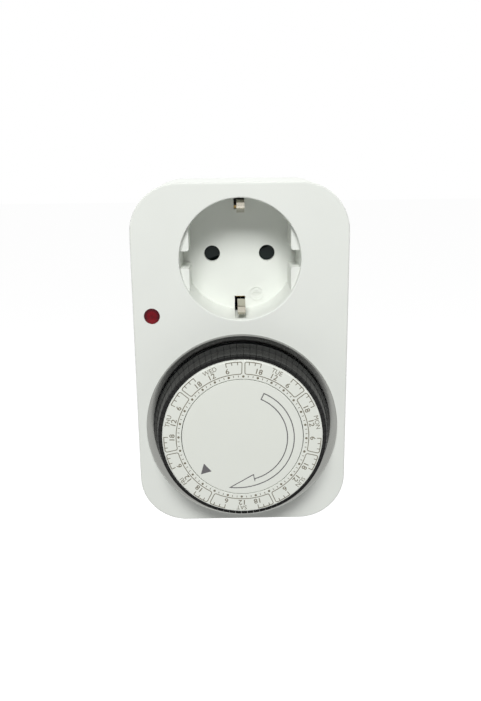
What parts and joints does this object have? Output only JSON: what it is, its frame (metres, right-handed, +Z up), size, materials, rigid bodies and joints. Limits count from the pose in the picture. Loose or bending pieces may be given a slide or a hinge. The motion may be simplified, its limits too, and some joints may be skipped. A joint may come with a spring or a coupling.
{
  "type": "plug-in timer switch",
  "caption": "Wall plug timer switch: off-white rounded case with a recessed socket above and a turning week dial of black press-in tappets below.",
  "frame": {"origin": "middle of the flat end face of the plug body on the back, between its two pins", "axes": "+X to the right seen from the front, +Z up, +Y out of the back along the pins into the wall socket"},
  "size_m": [0.0712, 0.0853, 0.117],
  "materials": {
    "housing": "fine matt moulded, off-white",
    "ring_gloss": "mirror bright",
    "tappet_black": "satin",
    "dial_white": "satin",
    "dial_inner": "matt",
    "lamp_red": "clear red",
    "lamp_glass": "clear",
    "nickel": "nickel plated",
    "spring_metal": "tinned",
    "brass": "plain",
    "black_plastic": "matt",
    "grey_plastic": "matt",
    "gear_plastic": "matt",
    "steel": "plain",
    "zinc": "zinc plated",
    "ferrite": "plain",
    "winding_copper": "enamelled copper wire",
    "bobbin_plastic": "matt",
    "resistor": "lacquered",
    "wire_cover": "soft"
  },
  "bodies": {
    "case": {"front_cover": "housing", "rear_cover": "housing", "case_screws": "zinc", "collar_ring": "ring_gloss", "lamp_lens": "lamp_red", "neon_lamp": "lamp_glass", "lamp_resistor": "resistor", "lead_wires": "wire_cover", "line_pin": "nickel", "neutral_pin": "nickel", "pin_carrier": "grey_plastic", "plug_earth_strip_top": "nickel", "plug_earth_strip_bottom": "nickel", "earth_bracket": "brass", "earth_clip_top": "spring_metal", "earth_clip_bottom": "spring_metal", "shutter_spring": "steel", "contact_carrier": "black_plastic", "line_contact": "brass", "neutral_contact": "brass", "neutral_bar": "brass", "line_bar": "brass", "switched_bar": "brass", "centre_post": "gear_plastic", "dial_clip": "steel", "clutch_washer": "steel", "centre_disc": "dial_white", "four_hour_arbor": "steel", "lever_pin": "steel", "switch_case": "black_plastic", "switch_terminals": "brass", "movement_plate": "grey_plastic", "plate_screws": "zinc", "bridge_plate": "zinc", "bridge_screws": "zinc", "gearbox_case": "zinc", "motor_screws": "zinc", "motor_cover": "zinc", "motor_can": "zinc", "claw_poles": "steel", "coil_bobbin": "bobbin_plastic", "coil_winding": "winding_copper"},
    "dial": {"dial_wheel": "dial_inner", "ring_gear": "gear_plastic", "scale_ring": "dial_white"},
    "tappets_tue": {"tappets_tue": "tappet_black"},
    "tappets_mon": {"tappets_mon": "tappet_black"},
    "tappets_sun": {"tappets_sun": "tappet_black"},
    "tappets_sat": {"tappets_sat": "tappet_black"},
    "tappets_fri": {"tappets_fri": "tappet_black"},
    "tappets_thu": {"tappets_thu": "tappet_black"},
    "tappets_wed": {"tappets_wed": "tappet_black"},
    "tappet_at_pointer": {"tappet_at_pointer": "tappet_black"},
    "day_gear": {"day_gear": "gear_plastic"},
    "four_hour_gear": {"four_hour_gear": "gear_plastic"},
    "motor_pinion": {"motor_pinion": "brass"},
    "rotor": {"rotor": "ferrite"},
    "lever": {"switch_lever": "gear_plastic"},
    "plunger": {"switch_plunger": "lamp_red"},
    "shutter": {"shutter": "black_plastic"}
  },
  "joints": [
    {"name": "dial_turn", "type": "hinge", "parent": "case", "child": "dial", "pos_m": [0, -0.0555, -0.0574], "axis": [0, 1, 0], "continuous": true},
    {"name": "tappets_tue_press", "type": "slide", "parent": "dial", "child": "tappets_tue", "axis": [0, 1, 0], "range_m": [0, 0.0022]},
    {"name": "tappets_mon_press", "type": "slide", "parent": "dial", "child": "tappets_mon", "axis": [0, 1, 0], "range_m": [0, 0.0022]},
    {"name": "tappets_sun_press", "type": "slide", "parent": "dial", "child": "tappets_sun", "axis": [0, 1, 0], "range_m": [0, 0.0022]},
    {"name": "tappets_sat_press", "type": "slide", "parent": "dial", "child": "tappets_sat", "axis": [0, 1, 0], "range_m": [0, 0.0022]},
    {"name": "tappets_fri_press", "type": "slide", "parent": "dial", "child": "tappets_fri", "axis": [0, 1, 0], "range_m": [0, 0.0022]},
    {"name": "tappets_thu_press", "type": "slide", "parent": "dial", "child": "tappets_thu", "axis": [0, 1, 0], "range_m": [0, 0.0022]},
    {"name": "tappets_wed_press", "type": "slide", "parent": "dial", "child": "tappets_wed", "axis": [0, 1, 0], "range_m": [0, 0.0022]},
    {"name": "tappet_at_pointer_press", "type": "slide", "parent": "dial", "child": "tappet_at_pointer", "axis": [0, 1, 0], "range_m": [0, 0.0022]},
    {"name": "lever_turn", "type": "hinge", "parent": "case", "child": "lever", "pos_m": [-0.0057, -0.0459, -0.07479], "axis": [0, 0, -1], "range_deg": [0, 7.45]},
    {"name": "plunger_press", "type": "slide", "parent": "case", "child": "plunger", "axis": [0, 1, 0], "range_m": [0, 0.001]},
    {"name": "day_gear_turn", "type": "hinge", "parent": "case", "child": "day_gear", "pos_m": [0.01, -0.0465, -0.04008], "axis": [0, 1, 0], "continuous": true},
    {"name": "four_hour_gear_turn", "type": "hinge", "parent": "case", "child": "four_hour_gear", "pos_m": [0.02212, -0.0445, -0.04708], "axis": [0, 1, 0], "continuous": true},
    {"name": "motor_pinion_turn", "type": "hinge", "parent": "case", "child": "motor_pinion", "pos_m": [0.01802, -0.0435, -0.05836], "axis": [0, 1, 0], "continuous": true},
    {"name": "rotor_spin", "type": "hinge", "parent": "case", "child": "rotor", "pos_m": [0.01, -0.0285, -0.062], "axis": [0, 1, 0], "continuous": true},
    {"name": "shutter_turn", "type": "hinge", "parent": "case", "child": "shutter", "pos_m": [0, -0.0345, 0], "axis": [0, 1, 0], "range_deg": [0, 38], "stiffness_Nm_per_rad": 0.0006, "springref_deg": -11.46}
  ],
  "couplings": [
    {"joint": "lever_turn", "follows": "tappet_at_pointer_press", "rad_per_m": 58.342},
    {"joint": "plunger_press", "follows": "tappet_at_pointer_press", "ratio": 0.43182},
    {"joint": "day_gear_turn", "follows": "dial_turn", "ratio": -7},
    {"joint": "four_hour_gear_turn", "follows": "dial_turn", "ratio": 42},
    {"joint": "motor_pinion_turn", "follows": "dial_turn", "ratio": -168}
  ]
}
